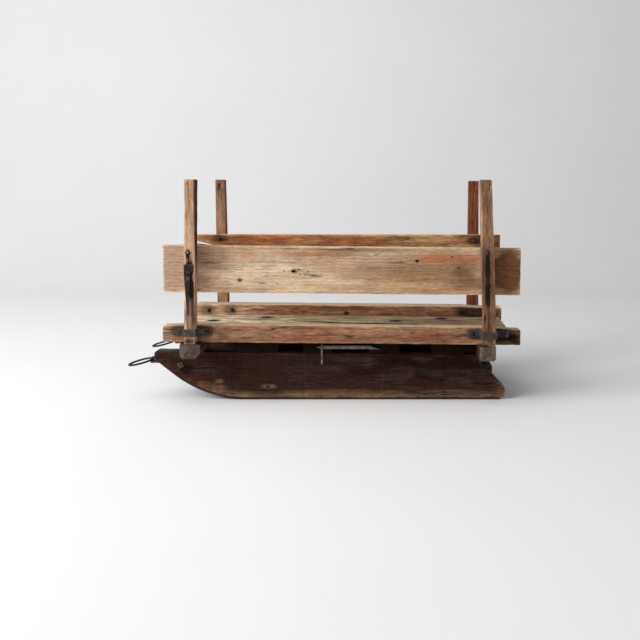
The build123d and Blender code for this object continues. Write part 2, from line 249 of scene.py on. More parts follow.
class SledWoodSettings(bpy.types.PropertyGroup):
    """Wear and colours of the timber"""

    edge: size_setting("Edge wear", "How far the long edges are worn round", 2.2)
    wave: size_setting("Wave", "How far the hewn faces wander", 0.7)
    chip: size_setting("Chips", "How deep the edges are chipped", 1.9)
    board: colour_setting("Near board", "Near side board, main colour", 216, 186, 154)
    board_warm: colour_setting("Near board warm", "Near side board, reddish streaks", 166, 116, 78)
    far_board: colour_setting("Far board", "Far side board, main colour", 186, 142, 102)
    stake: colour_setting("Stakes", "Stakes, main colour", 198, 162, 134)
    rail: colour_setting("Rails", "Rails, main colour", 158, 120, 92)
    rail_warm: colour_setting("Rails warm", "Rails, reddish streaks", 150, 94, 70)
    bed: colour_setting("Bed", "Bed planks, main colour", 176, 156, 125)
    bolster: colour_setting("Bolsters", "Bolsters and cross boards, sides", 58, 40, 31)
    bolster_end: colour_setting("Bolster ends", "End grain of the bolsters", 100, 86, 76)
    runner: colour_setting("Runners", "Runners, main colour", 54, 35, 29)
    runner_band: colour_setting("Runner band", "Bare wood along the runners' edge", 128, 98, 72)


class SledIronSettings(bpy.types.PropertyGroup):
    """Sizes and colours of the ironwork"""

    nut: size_setting("Nut", "Width of a square nut across its flats", 11.5)
    nut_height: size_setting("Nut height", "Thickness of a square nut", 4.0)
    bolt: size_setting("Bolt", "Diameter of a bolt", 6.5)
    head: size_setting("Bolt head", "Diameter of a round bolt head", 13.0)
    nail: size_setting("Nail head", "Diameter of a nail head", 8.0)
    dark: colour_setting("Iron", "Forged iron under scale", 38, 33, 32)
    # Pale steel of the bar, partly a painted highlight along it
    steel: colour_setting("Bare bar", "Bare steel of the side bar", 122, 116, 112)
    strap: colour_setting("Straps", "Iron of the straps and the hook", 44, 34, 29)
    old_nut: colour_setting("Old nuts", "Brown iron of the nuts at the nose", 84, 74, 58)
    rust: colour_setting("Rust", "Rust on the iron", 50, 32, 24)
    bright: colour_setting("Bright iron", "Iron rubbed bright", 152, 143, 136)


def level_box(node, level=LEVEL):
    """Lowest and highest corner of a node in a level frame, the bed's unless another is given."""
    points = [level @ v.co for v in frame["nodes"][node].data.vertices]
    low = Vector([min(p[i] for p in points) for i in range(3)])
    high = Vector([max(p[i] for p in points) for i in range(3)])
    return low, high


def reach(node, direction):
    """How far a node reaches back and forth along a direction."""
    spans = [v.co.dot(direction) for v in frame["nodes"][node].data.vertices]
    return min(spans), max(spans)


def on_face(node, along_mm, up_mm, y):
    """A place on a timber's side face, in the level frame."""
    low = level_box(node)[0]
    return Vector((low.x + along_mm * MM, y, low.z + up_mm * MM))


def patch(place, radii_mm, *paint):
    """A tint or a stain of a finish: its place, its half sizes, any colour, and its share."""
    return (tuple(place), tuple(radius * MM for radius in radii_mm), *paint)


# Shapes

def new_shape():
    """An empty bmesh that marks which faces are worn edges."""
    bm = bmesh.new()
    bm.faces.layers.int.new("eased")
    return bm


def block(low, high):
    """A block between two corners."""
    bm = new_shape()
    bmesh.ops.create_cube(bm, size=1.0)
    bmesh.ops.scale(bm, vec=high - low, verts=bm.verts)
    bmesh.ops.translate(bm, vec=(low + high) / 2, verts=bm.verts)
    return bm


def along(edge, axis):
    """True where an edge runs along an axis."""
    run = edge.verts[1].co - edge.verts[0].co
    return run.length > MERGE and abs(run[axis]) > 0.9 * run.length


def middle_of(edge):
    """Middle point of an edge."""
    return (edge.verts[0].co + edge.verts[1].co) / 2


def ease(bm, edges, width, steps=2):
    """Round some edges over, and mark what they become as worn."""
    made = bmesh.ops.bevel(
        bm,
        geom=edges,
        offset=width,
        offset_type="OFFSET",
        segments=steps,
        profile=0.5,
        affect="EDGES",
        material=-1,
        clamp_overlap=True,
    )
    eased = bm.faces.layers.int["eased"]
    for face in made["faces"]:
        face[eased] = 1


def sharp_edges(bm):
    """Edges where two faces meet at an angle that is eased."""
    return [e for e in bm.edges if e.is_manifold and e.calc_face_angle() > EASED_ANGLE]


def slice_up(bm, axis, low, high, step_mm, margin_mm):
    """Cut a shape across an axis in even steps, with a cut close inside each limit."""
    margin = margin_mm * MM
    count = max(1, round((high - low - 2 * margin) / (step_mm * MM)))
    run = (high - low - 2 * margin) / count
    normal = Vector((0, 0, 0))
    normal[axis] = 1
    for number in range(count + 1):
        place = normal * (low + margin + run * number)
        geom = bm.verts[:] + bm.edges[:] + bm.faces[:]
        bmesh.ops.bisect_plane(bm, geom=geom, dist=MERGE, plane_co=place, plane_no=normal)


def weather(bm, wave, chip, seed):
    """Wave the faces and chip the worn edges of a piece, always inwards."""
    bm.normal_update()
    eased = bm.faces.layers.int["eased"]
    worn = bm.verts.layers.float.new("wear")
    shift = Vector((seed * 3.7, seed * 1.9, seed * 5.3))
    slow_step, quick_step = 8.0, 55.0
    for v in bm.verts:
        on_edge = any(face[eased] for face in v.link_faces)
        slow = noise.noise(v.co * slow_step + shift)
        quick = noise.noise(v.co * quick_step + shift)
        push = wave * (0.5 + 0.5 * slow)
        if on_edge:
            push += chip * max(0.0, quick)
        v[worn] = 1.0 if on_edge else 0.0
        v.co -= v.normal * push


def wear_down(bm, low, high, dips):
    """Lower a timber's top where hands and loads wore it: middle, half length, depth."""
    worn_part = 0.4
    for middle, half, depth in dips:
        for v in bm.verts:
            share = (v.co.z - low.z) / (high.z - low.z) - (1 - worn_part)
            away = abs(v.co.x - middle) / half
            if share > 0 and away < 1:
                v.co.z -= depth * (1 - away ** 2) * share / worn_part


def timber(node, seed, finish_edges=None, dips=(), frame_turn=BED):
    """A timber as big as its node, drawn level, eased, sliced and weathered."""
    wood = bpy.context.scene.sled_wood
    low, high = level_box(node, frame_turn.inverted())
    bm = block(low, high)
    if finish_edges is not None:
        finish_edges(bm, high)
    ease(bm, sharp_edges(bm), wood.edge)
    for axis in range(3):
        slice_up(bm, axis, low[axis], high[axis], 18, 7)
    wear_down(bm, low, high, dips)
    weather(bm, wood.wave, wood.chip, seed)
    return bm


def merged_copy(node, width, steps=2):
    """A merged copy of a node with its sharp edges eased."""
    bm = bmesh.new()
    bm.from_mesh(frame["nodes"][node].data)
    bm.faces.layers.int.new("eased")
    bmesh.ops.remove_doubles(bm, verts=bm.verts, dist=MERGE)
    bmesh.ops.dissolve_limit(bm, angle_limit=radians(1), verts=bm.verts, edges=bm.edges)
    ease(bm, sharp_edges(bm), width, steps)
    return bm


def add_part(bm, part, place=Matrix.Identity(4), finish=None):
    """Set a finished small shape into a larger one, and free it."""
    part.transform(place)
    if finish is not None:
        for face in part.faces:
            face.material_index = finish
    carrier = bpy.data.meshes.new("carrier")
    part.to_mesh(carrier)
    part.free()
    bm.from_mesh(carrier)
    bpy.data.meshes.remove(carrier)


def facing(place, outward, turn=0.0):
    """Place of a small shape that stands up along Z, set to stand along outward."""
    stand = outward.to_track_quat("Z", "Y").to_matrix().to_4x4()
    return Matrix.Translation(place) @ stand @ Matrix.Rotation(turn, 4, "Z")


# Cuts

def add_pit(bm, place, outward, radius, depth, stretch, seed):
    """A cutter for a ragged hole, wider at the face."""
    part = bmesh.new()
    foot, mouth = radius * 0.5, radius * 1.1
    bmesh.ops.create_cone(
        part, cap_ends=True, segments=11, radius1=foot, radius2=mouth, depth=2 * depth
    )
    for v in part.verts:
        bump = 1 + 0.45 * noise.noise(v.co * 260 + Vector((seed, seed * 2.3, 0)))
        v.co.x *= stretch * bump
        v.co.y *= bump
    add_part(bm, part, facing(place, outward))


def add_crack(bm, start, end, outward, width, depth, wander, seed, foot=KEEN):
    """A cutter for a crack that wanders from start to end and closes at both."""
    run = end - start
    steps = 22
    part = bmesh.new()
    bmesh.ops.create_cube(part, size=1.0)
    bmesh.ops.subdivide_edges(part, edges=[e for e in part.edges if along(e, 0)], cuts=steps)
    for v in part.verts:
        share = v.co.x + 0.5
        open_share = max(0.05, sin(pi * share)) ** 0.6
        drift = wander * noise.noise(Vector((share * 5, seed * 4.1, 0)))
        keen = foot if v.co.z < 0 else 1.0
        v.co.y = v.co.y * width * open_share * keen + drift * sin(pi * share)
        v.co.x = share * run.length
        v.co.z *= 2 * depth
    lead = run.normalized()
    across = outward.cross(lead)
    turn = Matrix((lead, across, outward)).transposed().to_4x4()
    add_part(bm, part, Matrix.Translation(start) @ turn)


def add_cracks(bm, node, place_of, outward=-Y):
    """The cracks of one timber; place_of turns their millimetres into places."""
    for start, end, width, depth, wander, seed, foot in CRACKS[node]:
        add_crack(
            bm, place_of(*start), place_of(*end), outward, width * MM, depth * MM, wander * MM,
            seed, foot,
        )


def cut_out(piece, cutter, lining):
    """Cut a bmesh out of a piece and line the cut with a finish."""
    bmesh.ops.recalc_face_normals(cutter, faces=cutter.faces)
    mesh = bpy.data.meshes.new("cutter")
    cutter.to_mesh(mesh)
    cutter.free()
    mesh.materials.append(lining)
    tool = bpy.data.objects.new("cutter", mesh)
    bpy.context.scene.collection.objects.link(tool)
    carve = piece.modifiers.new("carve", "BOOLEAN")
    carve.operation = "DIFFERENCE"
    carve.solver = "EXACT"
    carve.use_self = True
    carve.material_mode = "TRANSFER"
    carve.object = tool
    graph = bpy.context.evaluated_depsgraph_get()
    carved = bpy.data.meshes.new_from_object(piece.evaluated_get(graph))
    piece.modifiers.clear()
    before, piece.data = piece.data, carved
    bpy.data.meshes.remove(before)
    bpy.data.objects.remove(tool)
    bpy.data.meshes.remove(mesh)


def finish_piece(name, bm, finishes, body, nodes=(), cutter=None, place=None):
    """Make a bmesh a piece of the sled that rides on its body."""
    if place is not None:
        bm.transform(place)
        if cutter is not None:
            cutter.transform(place)
    mesh = bpy.data.meshes.new(name)
    bm.to_mesh(mesh)
    bm.free()
    for finish in finishes:
        mesh.materials.append(finish)
    piece = bpy.data.objects.new(name, mesh)
    bpy.context.scene.collection.objects.link(piece)
    if cutter is not None:
        cut_out(piece, cutter, finish_named("split_wood"))
    piece.data.shade_smooth()
    piece.data.set_sharp_from_angle(angle=SHARP_ANGLE)
    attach(piece, body)
    if nodes:
        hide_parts(*nodes)


def iron_piece(name, bm, finish, node, body="sled", place=None):
    """Make a bmesh the one piece that stands for an iron node."""
    finish_piece(name, bm, [finish_named(finish)], body, nodes=(node,), place=place)


# Round bar

class Bar:
    """A round bar drawn out from one end, with straight runs and bends in turn."""

    def __init__(self, radius, start, heading, side, sides=12, closed=False):
        self.bm = bmesh.new()
        self.closed = closed
        bmesh.ops.create_circle(self.bm, cap_ends=not closed, segments=sides, radius=radius)
        lead = heading.normalized()
        across = side.normalized()
        turn = Matrix((across, lead.cross(across), lead)).transposed().to_4x4()
        self.bm.transform(Matrix.Translation(start) @ turn)
        self.rim = self.bm.edges[:]
        self.tip, self.heading = start.copy(), lead

    def draw(self, place):
        """Draw the open end out to a new place."""
        made = bmesh.ops.extrude_edge_only(self.bm, edges=self.rim)["geom"]
        verts = [g for g in made if isinstance(g, bmesh.types.BMVert)]
        self.rim = [g for g in made if isinstance(g, bmesh.types.BMEdge)]
        bmesh.ops.transform(self.bm, matrix=place, verts=verts)
        self.tip = place @ self.tip
        self.heading = (place.to_3x3() @ self.heading).normalized()

    def run(self, length, steps):
        """A straight run."""
        for _ in range(steps):
            self.draw(Matrix.Translation(self.heading * length / steps))

    def bend(self, radius, axis, angle, steps):
        """A bend of some radius, turning about an axis."""
        inward = axis.cross(self.heading).normalized() * (1 if angle > 0 else -1)
        centre = self.tip + inward * radius
        turn = Matrix.Rotation(angle / steps, 4, axis)
        for _ in range(steps):
            self.draw(Matrix.Translation(centre) @ turn @ Matrix.Translation(-centre))

    def finish(self, seed):
        """Close the bar and dimple it."""
        if self.closed:
            bmesh.ops.remove_doubles(self.bm, verts=self.bm.verts, dist=0.2 * MM)
        else:
            bmesh.ops.contextual_create(self.bm, geom=self.rim)
        bmesh.ops.recalc_face_normals(self.bm, faces=self.bm.faces)
        self.bm.normal_update()
        for v in self.bm.verts:
            v.co += v.normal * HAMMERED * (noise.noise(v.co * 140 + Vector((seed, 0, 0))) - 1)
        return self.bm


# Finishes

class Finish:
    """A material that is being mixed, with short calls for its nodes."""

    def __init__(self, name):
        self.material = bpy.data.materials.new(name)
        self.material.use_nodes = True
        self.tree = self.material.node_tree
        self.shader = self.tree.nodes["Principled BSDF"]
        self.coords = self.tree.nodes.new("ShaderNodeTexCoord")
        self.object = self.coords.outputs["Object"]

    def feed(self, socket, value):
        """Join an output to a socket, or set the socket's value."""
        if isinstance(value, bpy.types.NodeSocket):
            self.tree.links.new(value, socket)
        elif isinstance(value, tuple) and len(value) == 3 and socket.type == "RGBA":
            socket.default_value = (*value, 1.0)
        else:
            socket.default_value = value

    def node(self, kind, feeds, **options):
        """A new node with its options set and its inputs fed."""
        node = self.tree.nodes.new("ShaderNode" + kind)
        for option, value in options.items():
            setattr(node, option, value)
        for socket, value in feeds.items():
            self.feed(node.inputs[socket], value)
        return node

    def maths(self, operation, a, b=0.0):
        """One sum."""
        return self.node("Math", {0: a, 1: b}, operation=operation).outputs[0]

    def times(self, a, b):
        """Two amounts multiplied."""
        return self.maths("MULTIPLY", a, b)

    def placed(self, scale, shift=(0, 0, 0)):
        """The pattern's coordinates, stretched and shifted."""
        feeds = {"Vector": self.object, "Scale": scale, "Location": shift}
        return self.node("Mapping", feeds).outputs[0]

    def noise(self, vector, detail, roughness=0.55, distortion=0.0):
        """Soft noise from 0 to 1."""
        feeds = {
            "Vector": vector, "Scale": 1.0, "Detail": detail, "Roughness": roughness,
            "Distortion": distortion,
        }
        return self.node("TexNoise", feeds).outputs["Fac"]

    def span(self, value, low, high, out_low=0.0, out_high=1.0):
        """A smooth step between two values."""
        feeds = {
            "Value": value, "From Min": low, "From Max": high, "To Min": out_low,
            "To Max": out_high,
        }
        return self.node("MapRange", feeds, interpolation_type="SMOOTHSTEP").outputs["Result"]

    def mix(self, share, a, b):
        """Two colours mixed."""
        return self.node("Mix", {0: share, 6: a, 7: b}, data_type="RGBA").outputs[2]

    def scaled(self, colour, share):
        """A colour made lighter or darker by a changing share."""
        feeds = {0: colour, "Scale": share}
        return self.node("VectorMath", feeds, operation="SCALE").outputs[0]

    def spot(self, centre, radii, ragged=0.0, grain=None):
        """1 in the middle of an oval spot, falling to 0 at its ragged rim."""
        scale = tuple(1 / r for r in radii)
        shift = tuple(-c / r for c, r in zip(centre, radii))
        feeds = {0: self.placed(scale, shift)}
        away = self.node("VectorMath", feeds, operation="LENGTH").outputs["Value"]
        if grain is not None:
            away = self.maths("ADD", away, self.times(self.maths("SUBTRACT", grain, 0.5), ragged))
        return self.span(away, 1.0, 0.25)

    def part_of(self, vector, axis):
        """One part of a vector."""
        return self.node("SeparateXYZ", {0: vector}).outputs[axis]

    def attribute(self, name):
        """A value painted on the mesh."""
        return self.node("Attribute", {}, attribute_name=name).outputs["Fac"]

    def bump(self, height, strength, distance):
        """Raise the surface by a height."""
        feeds = {"Strength": strength, "Distance": distance, "Height": height}
        self.feed(self.shader.inputs["Normal"], self.node("Bump", feeds).outputs[0])

    def done(self, colour, roughness, specular):
        """Set the shader and give the material."""
        self.feed(self.shader.inputs["Base Color"], colour)
        self.feed(self.shader.inputs["Roughness"], roughness)
        self.shader.inputs["Specular IOR Level"].default_value = specular
        return self.material


def along_grain(axis, with_grain, across):
    """Pattern scale: one value along the grain, another across it."""
    scale = [across] * 3
    scale[axis] = with_grain
    return tuple(scale)


def darker(colour, share):
    """A colour made darker, or lighter where the share is over 1."""
    return tuple(min(1.0, c * share) for c in colour)


def growth_rings(f, axis, pith, ring_gap, knots):
    """Growth rings round the pith, bent round each knot."""
    vector = f.placed(along_grain(axis, 0.35, 1.0), pith)
    for centre, radius in knots:
        swell = f.spot(centre, along_grain(axis, radius * 6.5, radius * 3.2))
        swell = f.times(swell, radius * 1.6)
        bent = f.node("CombineXYZ", {1: swell, 2: swell}).outputs[0]
        vector = f.node("VectorMath", {0: vector, 1: bent}, operation="ADD").outputs[0]
    feeds = {
        "Vector": vector, "Scale": 2 * pi / (20 * ring_gap), "Distortion": 6.0, "Detail": 3.0,
        "Detail Scale": 0.35,
    }
    options = {"wave_type": "RINGS", "rings_direction": "XYZ"[axis], "wave_profile": "SAW"}
    return f.node("TexWave", feeds, **options).outputs["Fac"]


def wood_finish(
    name,
    axis,
    base,
    warm,
    grey,
    pith,
    ring_gap,
    seed,
    ring_depth=0.35,
    greying=0.5,
    warmth=0.6,
    contrast=1.0,
    top_pale_and_lit=None,
    end_tone=None,
    edge_pale=0.5,
    sawn=0.0,
    knots=(),
    stains=(),
    tints=(),
):
    """Old wood: growth rings, streaks, weathering, checks, knots and iron stains, with painted
    light on the tops.
    """
    f = Finish(name)
    shift = (seed * 1.3, seed * 0.7, seed * 2.1)
    patch = f.noise(f.placed(along_grain(axis, 2.2, 10.0), shift), 3.0)
    cloud = f.noise(f.placed(along_grain(axis, 8.0, 26.0), (seed, -seed, seed * 0.4)), 4.0)
    band = f.noise(f.placed(along_grain(axis, 9.0, 62.0), shift), 4.0, 0.65, 0.3)
    streak = f.noise(f.placed(along_grain(axis, 22.0, 190.0), shift), 5.0, 0.65, 0.3)
    fine = f.noise(f.placed(along_grain(axis, 50.0, 430.0), shift), 4.0, 0.65)
    speckle = f.noise(f.placed((130.0,) * 3, shift), 3.0, 0.7)
    check = f.noise(f.placed(along_grain(axis, 2.6, 60.0), (seed, seed, seed)), 2.0)
    ring = growth_rings(f, axis, pith, ring_gap, knots)

    colour = f.mix(f.span(patch, 0.4, 0.62, 0.0, warmth), base, warm)
    for centre, radii, tint, share in tints:
        place = f.spot(centre, radii, 0.9, cloud)
        colour = f.mix(f.times(place, share), colour, tint)
    colour = f.mix(f.span(cloud, 0.46, 0.66, 0.0, greying), colour, grey)
    lines = f.times(f.span(ring, 0.45, 1.0, 0.0, ring_depth), f.span(cloud, 0.2, 0.8, 0.45, 1.2))
    colour = f.mix(lines, colour, darker(warm, 0.5))
    shade = f.span(band, 0.3, 0.7, 1 + 0.3 * contrast, 1 - 0.38 * contrast)
    shade = f.times(shade, f.span(streak, 0.3, 0.7, 1 + 0.3 * contrast, 1 - 0.42 * contrast))
    shade = f.times(shade, f.span(fine, 0.35, 0.7, 1.15, 0.7))
    shade = f.times(shade, f.span(patch, 0.36, 0.64, 1.07, 0.92))
    if sawn:
        marks = f.noise(f.placed(along_grain(axis, 240.0, 9.0), shift), 3.0, 0.6)
        shade = f.times(shade, f.span(marks, 0.35, 0.65, 1 + sawn, 1 - sawn))
    colour = f.scaled(colour, shade)

    # Tops made paler, partly by weathering and partly as painted light from above, and end grain
    if top_pale_and_lit is not None:
        lit_top_share = f.span(f.part_of(f.coords.outputs["Normal"], 2), 0.35, 0.9)
        lit_top_share = f.times(lit_top_share, f.span(cloud, 0.25, 0.6, 0.6, 1.0))
        paler = f.mix(f.span(streak, 0.45, 0.75), top_pale_and_lit, darker(top_pale_and_lit, 0.5))
        colour = f.mix(lit_top_share, colour, paler)
    if end_tone is not None:
        endward = f.maths("ABSOLUTE", f.part_of(f.coords.outputs["Normal"], axis))
        mottle = f.mix(f.span(band, 0.35, 0.65), end_tone, darker(end_tone, 0.6))
        mottle = f.mix(f.span(ring, 0.4, 1.0, 0.0, 0.5), mottle, darker(end_tone, 0.4))
        colour = f.mix(f.span(endward, 0.5, 0.9), colour, mottle)

    worn = f.times(f.attribute("wear"), f.span(speckle, 0.3, 0.62, 0.0, edge_pale))
    colour = f.scaled(colour, f.maths("ADD", worn, 1.0))
    colour = f.scaled(colour, f.span(speckle, 0.58, 0.8, 1.0, 0.55))
    split = f.span(f.maths("ABSOLUTE", f.maths("SUBTRACT", check, 0.5)), 0.012, 0.003)
    split = f.times(split, f.span(cloud, 0.48, 0.6))
    colour = f.mix(f.times(split, 0.85), colour, darker(warm, 0.12))
    for centre, radius in knots:
        place = f.spot(centre, along_grain(axis, radius * 2.1, radius * 1.5), 0.7, speckle)
        colour = f.mix(f.times(place, 0.8), colour, darker(warm, 0.28))
    # Dark stains; on the near front stake they also paint the hook's shade beside it
    for centre, radii, share in stains:
        place = f.times(f.spot(centre, radii, 1.1, streak), share)
        colour = f.mix(place, colour, tone(34, 25, 21))
    height = f.maths("ADD", f.times(streak, -1.0), f.times(fine, -0.7))
    height = f.maths("ADD", height, f.times(f.span(ring, 0.4, 1.0), -0.35))
    height = f.maths("ADD", height, f.times(speckle, -0.25))
    height = f.maths("ADD", height, f.times(split, -0.9))
    f.bump(height, 0.8, 1.2 * MM)
    return f.done(colour, f.span(streak, 0.2, 0.8, 0.7, 0.94), specular=0.08)


def iron_finish(name, dark, rust, bright, rubbed, rusting, edge_wear_and_glint):
    """Forged iron: dark scale, rust in patches, rubbed bright places, and paler edges that are
    partly painted highlight.
    """
    f = Finish(name)
    patch = f.noise(f.placed((28.0,) * 3), 4.0, 0.6)
    pits = f.noise(f.placed((240.0,) * 3), 3.0, 0.7)
    scale = f.noise(f.placed((75.0,) * 3, (3, 1, 2)), 5.0, 0.65)
    rust_share = f.span(patch, 0.45, 0.62, 0.0, rusting)
    bright_share = f.span(scale, 0.5, 0.66, 0.0, rubbed)
    colour = f.mix(f.span(scale, 0.3, 0.7), darker(dark, 0.6), darker(dark, 1.3))
    colour = f.mix(rust_share, colour, f.mix(f.span(pits, 0.4, 0.7), rust, darker(rust, 0.45)))
    colour = f.mix(bright_share, colour, bright)
    # Paler edges: rubbed iron, and partly painted highlight
    worn = f.times(f.attribute("wear"), f.span(pits, 0.35, 0.6, 0.0, edge_wear_and_glint))
    colour = f.mix(worn, colour, darker(bright, 0.6))
    colour = f.mix(f.span(pits, 0.6, 0.8, 0.0, 0.6), colour, darker(dark, 0.4))
    f.bump(f.maths("ADD", pits, f.times(scale, 1.5)), 0.6, 0.5 * MM)
    rough = f.maths("SUBTRACT", f.span(pits, 0.3, 0.8, 0.45, 0.7), f.times(bright_share, 0.15))
    return f.done(colour, rough, specular=0.12)


def split_wood_finish():
    """Dark wood inside cracks and old holes."""
    f = Finish("worn_split_wood")
    grain = f.noise(f.placed((40.0, 300.0, 300.0)), 4.0)
    colour = f.mix(f.span(grain, 0.35, 0.7), tone(26, 18, 14), tone(56, 40, 30))
    f.bump(grain, 0.5, 0.6 * MM)
    return f.done(colour, 0.9, specular=0.2)


def finish_named(name):
    """A finish that is already mixed, or the plain one of that name."""
    worn_name = "worn_" + name
    if worn_name in bpy.data.materials:
        return bpy.data.materials[worn_name]
    iron = bpy.context.scene.sled_iron
    if name == "split_wood":
        return split_wood_finish()
    if name not in IRON_SHARES:
        raise RuntimeError("no finish is called " + name)
    darks = {"bar_iron_and_sheen": iron.steel[:], "strap_iron": iron.strap[:], "nut_iron": iron.old_nut[:]}
    dark = darks.get(name, iron.dark[:])
    bright = darker(dark, 2.2) if name == "nut_iron" else iron.bright[:]
    return iron_finish(worn_name, dark, iron.rust[:], bright, *IRON_SHARES[name])


# Small iron

def square_nut(size=1.0, end_finish=1):
    """A square nut on a bolt's end, standing up along Z from the wood."""
    iron = bpy.context.scene.sled_iron
    half = iron.nut / 2 * size
    bm = block(Vector((-half, -half, -MM)), Vector((half, half, iron.nut_height)))
    ease(bm, bm.edges[:], iron.nut * 0.09, 2)
    end = new_shape()
    height = iron.nut_height * 0.65
    bmesh.ops.create_cone(
        end, cap_ends=True, segments=14, radius1=iron.bolt / 2, radius2=iron.bolt / 2, depth=height
    )
    bmesh.ops.translate(end, vec=Z * (iron.nut_height + height / 2 - MM), verts=end.verts)
    crown = [e for e in end.edges if not along(e, 2) and middle_of(e).z > iron.nut_height]
    ease(end, crown, iron.bolt * 0.2, 3)
    add_part(bm, end, finish=end_finish)
    return bm


def round_head(diameter, height):
    """A low domed head standing up along Z from the wood."""
    bm = new_shape()
    bmesh.ops.create_uvsphere(bm, u_segments=16, v_segments=10, radius=diameter / 2)
    bmesh.ops.scale(bm, vec=(1, 1, 2 * height / diameter), verts=bm.verts)
    geom = bm.verts[:] + bm.edges[:] + bm.faces[:]
    bmesh.ops.bisect_plane(
        bm, geom=geom, dist=MERGE, plane_co=-Z * 0.3 * height, plane_no=Z, clear_inner=True
    )
    bmesh.ops.holes_fill(bm, edges=[e for e in bm.edges if e.is_boundary])
    return bm


def fasten(name, body, items, main="forged_iron"):
    """One piece of all the nuts and heads of one kind of place: kind, place, outward, turn."""
    iron = bpy.context.scene.sled_iron
    makers = {
        "nut": square_nut,
        "large nut": lambda: square_nut(1.3),
        # Its bolt end in the bar finish: bare steel, and partly a painted glint
        "glint nut": lambda: square_nut(1.1, 2),
        "head": lambda: round_head(iron.head, iron.head * HEAD_RISE),
        "nail": lambda: round_head(iron.nail, iron.nail * NAIL_RISE),
    }
    bm = new_shape()
    for kind, place, outward, turn in items:
        add_part(bm, makers[kind](), facing(place, outward, turn))
    finishes = [finish_named(main), finish_named("ring_iron"), finish_named("bar_iron_and_sheen")]
    finish_piece(name, bm, finishes, body, place=BED)


class SLED_OT_stage(bpy.types.Operator):
    """Make the floor, the backdrop, the lights and the camera"""

    bl_idname = "sled.stage"
    bl_label = "Stage"

    def execute(self, context):
        stage = context.scene.sled_stage
        self.paper(context, stage)
        world = bpy.data.worlds.new("studio_room")
        context.scene.world = world
        world.use_nodes = True
        room = world.node_tree.nodes["Background"]
        room.inputs["Color"].default_value = (1.0, 1.0, 1.0, 1.0)
        room.inputs["Strength"].default_value = stage.sky
        sled = Vector((0.0, 0.0, 0.25))
        self.soft_box(context, "window_light", Vector((-4.3, -2.6, 2.9)), sled, 3.0, stage.window)
        self.soft_box(context, "ceiling_light", Vector((-0.9, -0.9, 3.2)), sled, 2.6, stage.ceiling)
        wall = Vector((-1.4, 3.8, 1.4))
        self.soft_box(context, "wall_light", Vector((-2.6, 1.4, 1.8)), wall, 1.4, stage.wall)
        self.camera(context, stage)
        context.scene.view_settings.view_transform = "Standard"
        return {"FINISHED"}

    def paper(self, context, stage):
        """One sheet of paper, from the floor up round a sweep to the wall."""
        floor_half, floor_front, sweep_start, sweep_radius, wall_top = 6.0, -4.0, 2.2, 1.6, 5.0
        bm = bmesh.new()
        left = bm.verts.new((-floor_half, floor_front, 0.0))
        right = bm.verts.new((floor_half, floor_front, 0.0))
        rim = [bm.edges.new((left, right))]
        centre = Matrix.Translation((0, sweep_start, sweep_radius))
        steps = 24
        turn = centre @ Matrix.Rotation(pi / 2 / steps, 4, "X") @ centre.inverted()
        moves = [Matrix.Translation((0, sweep_start - floor_front, 0))] + [turn] * steps
        moves.append(Matrix.Translation((0, 0, wall_top - sweep_radius)))
        for move in moves:
            made = bmesh.ops.extrude_edge_only(bm, edges=rim)["geom"]
            verts = [g for g in made if isinstance(g, bmesh.types.BMVert)]
            bmesh.ops.transform(bm, matrix=move, verts=verts)
            rim = [g for g in made if isinstance(g, bmesh.types.BMEdge)]
        bmesh.ops.recalc_face_normals(bm, faces=bm.faces)
        mesh = bpy.data.meshes.new("studio_paper")
        bm.to_mesh(mesh)
        bm.free()
        mesh.shade_smooth()
        f = Finish("studio_paper")
        mottle = f.noise(f.placed((1.4,) * 3), 2.0)
        shade = f.mix(f.span(mottle, 0.3, 0.7), stage.paper[:], darker(stage.paper[:], 0.985))
        mesh.materials.append(f.done(shade, 0.9, specular=0.1))
        floor = bpy.data.objects.new("studio_paper", mesh)
        context.scene.collection.objects.link(floor)

    def soft_box(self, context, name, place, target, size, power):
        """A large soft light aimed at a target."""
        data = bpy.data.lights.new(name, "AREA")
        data.shape = "SQUARE"
        data.size = size
        data.energy = power
        lamp = bpy.data.objects.new(name, data)
        context.scene.collection.objects.link(lamp)
        turn = (target - place).to_track_quat("-Z", "Y").to_matrix().to_4x4()
        lamp.matrix_world = Matrix.Translation(place) @ turn
        lamp.visible_camera = False

    def camera(self, context, stage):
        """The camera at the photograph's angle, looking a little down."""
        camera = bpy.data.objects.new("photo_camera", bpy.data.cameras.new("photo_camera"))
        context.scene.collection.objects.link(camera)
        camera.location = CAMERA_PLACE
        camera.rotation_euler = (pi / 2 - stage.pitch, 0.0, 0.0)
        camera.data.sensor_width = 36.0
        camera.data.lens = stage.lens
        camera.data.shift_x = (PICTURE_SIDE / 2 - PICTURE_X) / PICTURE_SIDE
        camera.data.shift_y = (PICTURE_Y - PICTURE_SIDE / 2) / PICTURE_SIDE
        camera.data.clip_end = 50.0
        context.scene.camera = camera


